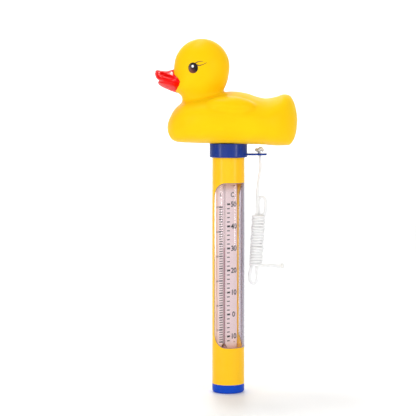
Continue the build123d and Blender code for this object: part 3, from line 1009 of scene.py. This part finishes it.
def lens_material():
    """Clear lens with painted light: painted reflection of the yellow tube warms its left foot and
    its top and bottom ends, painted shade makes its thick right foot violet-grey with a dark line.
    """
    material, nodes, links, shader = new_material("clear_lens", Transmission_Weight=1.0, IOR=1.36)
    place = nodes.new("ShaderNodeTexCoord")
    parts = nodes.new("ShaderNodeSeparateXYZ")
    links.new(place.outputs["Object"], parts.inputs[0])
    across = nodes.new("ShaderNodeMapRange")
    across.inputs["From Min"].default_value = -TUBE_R
    across.inputs["From Max"].default_value = TUBE_R
    links.new(parts.outputs["X"], across.inputs["Value"])
    clear = (0.95, 0.925, 0.945)
    # Colours across the lens: painted reflection of the yellow tube at the left, painted shade and
    # a dark painted line at the right
    stops = [
        (0.05, (0.95, 0.60, 0.33)),
        (0.12, (0.93, 0.72, 0.58)),
        (0.17, (0.93, 0.80, 0.73)),
        (0.21, clear),
        (0.86, clear),
        (0.90, (0.60, 0.54, 0.60)),
        (0.94, (0.52, 0.46, 0.53)),
        (0.955, (0.16, 0.14, 0.18)),
        (0.975, (0.30, 0.27, 0.33)),
        (0.99, (0.52, 0.48, 0.55)),
    ]
    side_reflection_tint = ramp(nodes, links, across.outputs["Result"], stops)
    height = nodes.new("ShaderNodeMapRange")
    height.inputs["From Min"].default_value = WINDOW_LOW
    height.inputs["From Max"].default_value = WINDOW_HIGH
    links.new(parts.outputs["Z"], height.inputs["Value"])
    # Warm painted reflection of the yellow tube at the lens's top and bottom ends
    ends = [
        (0.0, (0.95, 0.78, 0.68)),
        (0.035, (1, 1, 1)),
        (0.955, (1, 1, 1)),
        (0.99, (1.0, 0.80, 0.66)),
    ]
    end_reflection_tint = ramp(nodes, links, height.outputs["Result"], ends)
    both = nodes.new("ShaderNodeMix")
    both.data_type = "RGBA"
    both.blend_type = "MULTIPLY"
    both.inputs["Factor"].default_value = 1.0
    # Inputs 6 and 7 and output 2 are the colour ones of this node's many sockets
    links.new(side_reflection_tint, both.inputs[6])
    links.new(end_reflection_tint, both.inputs[7])
    links.new(both.outputs[2], shader.inputs["Base Color"])
    gloss = noise(nodes, links, 220.0, 4.0)
    links.new(ramp(nodes, links, gloss, [(0.3, 0.05), (0.7, 0.065)]), shader.inputs["Roughness"])
    return material


TUBE_DARK, TUBE_LIGHT = (0.96, 0.515, 0.006), (0.975, 0.555, 0.010)
BASE_DARK, BASE_LIGHT = (0.003, 0.052, 0.47), (0.006, 0.066, 0.53)
COLLAR_DARK, COLLAR_LIGHT = (0.001, 0.021, 0.215), (0.003, 0.029, 0.26)
CARD_DARK, CARD_LIGHT = (0.91, 0.765, 0.76), (0.93, 0.80, 0.795)


def tube_material():
    """Glossy yellow plastic outside, matt where the mould's core made the bore."""
    material, nodes, links, shader = new_material("tube_yellow", Specular_IOR_Level=0.2)
    drift = noise(nodes, links, 35.0)
    tint = ramp(nodes, links, drift, [(0.3, TUBE_DARK), (0.7, TUBE_LIGHT)])
    links.new(tint, shader.inputs["Base Color"])
    place = nodes.new("ShaderNodeTexCoord")
    flat = nodes.new("ShaderNodeVectorMath")
    flat.operation = "MULTIPLY"
    flat.inputs[1].default_value = (1, 1, 0)
    links.new(place.outputs["Object"], flat.inputs[0])
    radius = nodes.new("ShaderNodeVectorMath")
    radius.operation = "LENGTH"
    links.new(flat.outputs["Vector"], radius.inputs[0])
    gloss = nodes.new("ShaderNodeMapRange")
    gloss.inputs["From Min"].default_value = TUBE_R - 1.2 * MM
    gloss.inputs["From Max"].default_value = TUBE_R - 0.2 * MM
    gloss.inputs["To Min"].default_value = 0.85
    gloss.inputs["To Max"].default_value = 0.24
    links.new(radius.outputs["Value"], gloss.inputs["Value"])
    links.new(gloss.outputs["Result"], shader.inputs["Roughness"])
    bump(nodes, links, shader, noise(nodes, links, 900.0, 5.0), 0.10, 0.05 * MM)
    return material


node_materials = {
    "outer_tube": tube_material(),
    "window_lens": lens_material(),
    "bottom_cap": moulded("base_blue", BASE_DARK, BASE_LIGHT, 0.22, 0.32, Specular_IOR_Level=0.09),
    "top_cap": moulded("cap_blue", COLLAR_DARK, COLLAR_LIGHT, 0.2, 0.3, Specular_IOR_Level=0.3),
    "scale_plate": moulded("plate_card", CARD_DARK, CARD_LIGHT, 0.45, 0.58, 1600.0),
    "glass_thermometer": tinted_clear("capillary_glass", (0.95, 0.93, 0.94), 0.01, 1.12),
    "bulb_spirit": moulded("bulb_spirit", (0.60, 0.30, 0.30), (0.68, 0.36, 0.36), 0.1, 0.16),
    "ballast_slug": moulded(
        "ballast_steel", (0.42, 0.42, 0.43), (0.52, 0.52, 0.53), 0.3, 0.42, Metallic=1.0
    ),
}
holder_plastic = moulded("holder_white", (0.72, 0.71, 0.69), (0.78, 0.77, 0.75), 0.4, 0.5)
ring_rubber = moulded("seal_rubber", (0.018, 0.018, 0.018), (0.028, 0.028, 0.028), 0.5, 0.65)
for node in ("lower_holder", "upper_holder"):
    node_materials[node] = holder_plastic
for node in ("base_o_ring", "cap_o_ring", "spigot_o_ring"):
    node_materials[node] = ring_rubber
for node, material in node_materials.items():
    give(frame["nodes"][node], material)
for node in ("window_lens", "glass_thermometer"):
    frame["nodes"][node].visible_shadow = False


# ---------------------------------------------------------------- joint round the window
FACING = math.radians(35.0)
WINDOW_HALF = math.radians(94.0)
WINDOW_CORNER = 9.5 * MM
CORNER_TURN = WINDOW_CORNER / TUBE_R
JOINT_INSET = 0.03
# (distance across the gap, height over the tube's face) of the bead's section, in millimetres
JOINT_SECTION = [(-0.20, -0.15), (-0.16, 0.02), (0.0, 0.07), (0.16, 0.02), (0.20, -0.15)]


def window_outline():
    """(angle from the window's middle, height) round the window's edge."""
    straight = WINDOW_HALF - CORNER_TURN
    quarter = []
    for n in range(17):
        lean = math.pi / 2 * n / 16
        turn = math.asin(math.sin(CORNER_TURN) * math.sin(lean))
        quarter.append((straight + turn, WINDOW_CORNER * (1 - math.cos(lean))))
    outline = [(straight * n / 12, WINDOW_HIGH) for n in range(-12, 12)]
    outline += [(a, WINDOW_HIGH - drop) for a, drop in quarter]
    rise = WINDOW_HIGH - WINDOW_LOW - 2 * WINDOW_CORNER
    outline += [(WINDOW_HALF, WINDOW_HIGH - WINDOW_CORNER - rise * n / 40) for n in range(1, 40)]
    outline += [(a, WINDOW_LOW + drop) for a, drop in reversed(quarter)]
    outline += [(straight * n / 12, WINDOW_LOW) for n in range(11, -12, -1)]
    outline += [(-a, WINDOW_LOW + drop) for a, drop in quarter]
    outline += [(-WINDOW_HALF, WINDOW_LOW + WINDOW_CORNER + rise * n / 40) for n in range(1, 40)]
    outline += [(-a, WINDOW_HIGH - drop) for a, drop in reversed(quarter[1:])]
    return np.array(outline)


def joint_bead():
    """Thin bead along the joint between the lens and the tube; its dark purple is painted shade for
    the shadowed gap and the lens's refracted edge.
    """
    outline = window_outline() * np.array([TUBE_R, 1.0])
    heading = np.roll(outline, -1, axis=0) - np.roll(outline, 1, axis=0)
    heading /= np.linalg.norm(heading, axis=1)[:, None]
    normal = np.stack([heading[:, 1], -heading[:, 0]], axis=1)
    points = []
    for place, outward in zip(outline, normal):
        for off, lift in JOINT_SECTION:
            arc, height = place + outward * (off - JOINT_INSET) * MM
            angle = FACING + arc / TUBE_R
            reach = TUBE_R + lift * MM
            points.append((reach * math.sin(angle), -reach * math.cos(angle), height))
    count, size = len(outline), len(JOINT_SECTION)
    faces = []
    for n in range(count):
        after = (n + 1) % count
        for k in range(size):
            up = (k + 1) % size
            faces.append((n * size + k, n * size + up, after * size + up, after * size + k))
    return mesh_piece("window_joint", points, faces)


joint = joint_bead()
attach(joint, "tube")
# The bead's dark purple colour is painted shade of the gap
give(joint, moulded("window_joint_shade", (0.13, 0.08, 0.16), (0.24, 0.16, 0.27), 0.15, 0.25))


# ---------------------------------------------------------------- scale print
OUTWARD = np.array([math.sin(FACING), -math.cos(FACING), 0])
ACROSS = np.array([math.cos(FACING), math.sin(FACING), 0])
UPWARD = np.array([0, 0, 1.0])
PLATE_FACE = -2.0
CELSIUS_50 = 128.6
CELSIUS_STEP = 1.516
INK_RAISED = 0.035
INK_SUNK = -0.02
INK_BEVEL = 0.02
INK_EXTRUDE = 0.028
LETTER_LIFT = 0.008
# Font size over the height of a figure
FIGURE_TO_FONT = 1.42
UNIT_LETTERS_UP = 135.1


def on_plate(across, up, lift):
    """Metres in the frame of a point on the scale plate's face, from millimetres."""
    return (ACROSS * across + OUTWARD * (PLATE_FACE + lift) + UPWARD * up) * MM


def celsius_height(degrees):
    """Height in millimetres of a Celsius reading."""
    return CELSIUS_50 + (degrees - 50) * CELSIUS_STEP


def fahrenheit_height(degrees):
    """Height in millimetres of a Fahrenheit reading."""
    return celsius_height((degrees - 32) / 1.8)


print_points, print_faces = [], []


def printed_bar(across_low, across_high, up, thick):
    """Raised line of ink across the plate, sunk a little into its face."""
    base = len(print_points)
    for lift in (INK_SUNK, INK_RAISED):
        inset = INK_BEVEL if lift > 0 else 0.0
        for a, b in ((0, 0), (1, 0), (1, 1), (0, 1)):
            across = (across_high - inset) if a else (across_low + inset)
            height = up + (thick / 2 - inset) * (1 if b else -1)
            print_points.append(on_plate(across, height, lift))
    print_faces.append([base + k for k in (3, 2, 1, 0)])
    print_faces.append([base + k for k in (4, 5, 6, 7)])
    for k in range(4):
        print_faces.append([base + k, base + (k + 1) % 4, base + 4 + (k + 1) % 4, base + 4 + k])


def printed_text(text, across, up, height, weight):
    """Ink lettering from a place on the plate, its strokes made heavier by weight."""
    curve = bpy.data.curves.new("lettering", "FONT")
    curve.body = text
    curve.size = height * FIGURE_TO_FONT
    curve.space_character = 0.94
    curve.align_x = "CENTER"
    curve.offset = weight
    curve.extrude = INK_EXTRUDE
    curve.resolution_u = 4
    letters = bpy.data.objects.new("lettering", curve)
    mesh = bpy.data.meshes.new_from_object(letters)
    base = len(print_points)
    for vertex in mesh.vertices:
        x, y, z = vertex.co
        print_points.append(on_plate(across + x, up - height / 2 + y, z + LETTER_LIFT))
    for polygon in mesh.polygons:
        print_faces.append([base + k for k in polygon.vertices])
    bpy.data.objects.remove(letters)
    bpy.data.curves.remove(curve)
    bpy.data.meshes.remove(mesh)


for degrees in range(-12, 51, 2):
    major = degrees % 10 == 0
    thick = 1.3 if major else 0.72
    printed_bar(0.3, 2.9 if major else 2.6, celsius_height(degrees), thick)
    if major:
        printed_text(str(abs(degrees)), 5.9, celsius_height(degrees), 3.5, 0.12)
for degrees in range(10, 121, 2):
    major = degrees % 10 == 0
    start = -6.2 if major else -6.0
    printed_bar(start, -3.3, fahrenheit_height(degrees), 0.95 if major else 0.62)
    if degrees % 20 == 0:
        printed_text(str(degrees), -7.5, fahrenheit_height(degrees), 1.3, 0.0)
printed_text("C", 4.9, UNIT_LETTERS_UP, 3.2, 0.06)
printed_text("F", -5.0, UNIT_LETTERS_UP, 2.2, 0.0)
scale_marks = mesh_piece("scale_marks", print_points, print_faces, smooth=False)
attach(scale_marks, "tube")
give(scale_marks, moulded("scale_ink", (0.004, 0.002, 0.004), (0.010, 0.005, 0.010), 0.5, 0.6))


# ---------------------------------------------------------------- spirit thread
SPIRIT_LOW, SPIRIT_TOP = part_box("spirit_column")[0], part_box("spirit_meniscus")[1]


def spirit_thread():
    """The spirit's thread up the bore, with a domed top."""
    x = (SPIRIT_LOW.x + SPIRIT_TOP.x) / 2
    y = (SPIRIT_LOW.y + SPIRIT_TOP.y) / 2
    r = (SPIRIT_TOP.x - SPIRIT_LOW.x) / 2
    rows, sides = 90, 20
    straight = SPIRIT_TOP.z - r - SPIRIT_LOW.z
    heights = [(SPIRIT_LOW.z + straight * n / (rows - 1), r) for n in range(rows)]
    for n in range(1, 7):
        angle = math.pi / 2 * n / 6.5
        heights.append((SPIRIT_TOP.z - r + r * math.sin(angle), r * math.cos(angle)))
    points = [
        (x + q * math.cos(2 * math.pi * k / sides), y + q * math.sin(2 * math.pi * k / sides), z)
        for z, q in heights
        for k in range(sides)
    ]
    faces = grid_faces(len(heights), sides)
    faces.append(tuple(reversed(range(sides))))
    faces.append(tuple(range((len(heights) - 1) * sides, len(heights) * sides)))
    return mesh_piece("spirit_thread", points, faces)


thread = spirit_thread()
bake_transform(thread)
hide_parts("spirit_column", "spirit_meniscus")
give(thread, moulded("spirit_thread", (0.42, 0.19, 0.23), (0.50, 0.24, 0.28), 0.1, 0.18))


# ---------------------------------------------------------------- studio
def area_light(name, place, target, size, power):
    """White area light of (width, height) that faces a target."""
    data = bpy.data.lights.new(name, "AREA")
    data.shape = "RECTANGLE"
    data.size, data.size_y = size
    data.energy = power
    light = bpy.data.objects.new(name, data)
    bpy.context.scene.collection.objects.link(light)
    light.location = place
    light.rotation_mode = "QUATERNION"
    light.rotation_quaternion = (Vector(target) - Vector(place)).to_track_quat("-Z", "Y")


LIGHT_TARGET = (0, 0, 0.12)
area_light("left_strip", (-0.82, -0.62, 0.30), LIGHT_TARGET, (0.08, 0.9), 2.6)
area_light("right_strip", (0.73, -0.68, 0.30), LIGHT_TARGET, (0.11, 0.9), 2.6)
area_light("overhead", (-0.20, 0.18, 1.1), LIGHT_TARGET, (0.19, 0.22), 2.4)
area_light("bill_glint", (-0.06, 0.52, 1.04), (-0.04, 0, 0.19), (0.12, 0.12), 1.2)
area_light("left_fill", (-0.9, -1.6, 0.45), LIGHT_TARGET, (1.8, 1.6), 7.6)
area_light("right_fill", (0.7, -1.7, 0.35), LIGHT_TARGET, (1.6, 1.4), 4.0)
area_light("backdrop_light", (0, 3.0, 4.0), (0, 5.0, 2.5), (6.0, 1.0), 200.0)

world = bpy.data.worlds.new("studio")
world.use_nodes = True
background = world.node_tree.nodes["Background"]
background.inputs["Color"].default_value = (1, 1, 1, 1)
background.inputs["Strength"].default_value = 0.55
bpy.context.scene.world = world
bpy.context.scene.view_settings.view_transform = "Standard"


def floor_piece():
    """Pale floor that sweeps up into a backdrop far behind the object."""
    half, front, back, top = 6.0, -3.0, 4.0, 5.0
    bend, steps = 1.2, 12
    profile = [(front, 0.0), (back, 0.0)]
    for n in range(1, steps + 1):
        angle = math.pi / 2 * n / steps
        profile.append((back + bend * math.sin(angle), bend * (1 - math.cos(angle))))
    profile.append((back + bend, top))
    points = [(x, y, z) for y, z in profile for x in (-half, half)]
    return mesh_piece("floor", points, grid_faces(len(profile), 2, closed=False))


floor = floor_piece()
floor_material, floor_nodes, floor_links, floor_shader = new_material("floor", Roughness=0.55)
floor_tone = ramp(
    floor_nodes, floor_links, noise(floor_nodes, floor_links, 3.0), [(0.3, 0.95), (0.7, 0.97)]
)
floor_links.new(floor_tone, floor_shader.inputs["Base Color"])
give(floor, floor_material)
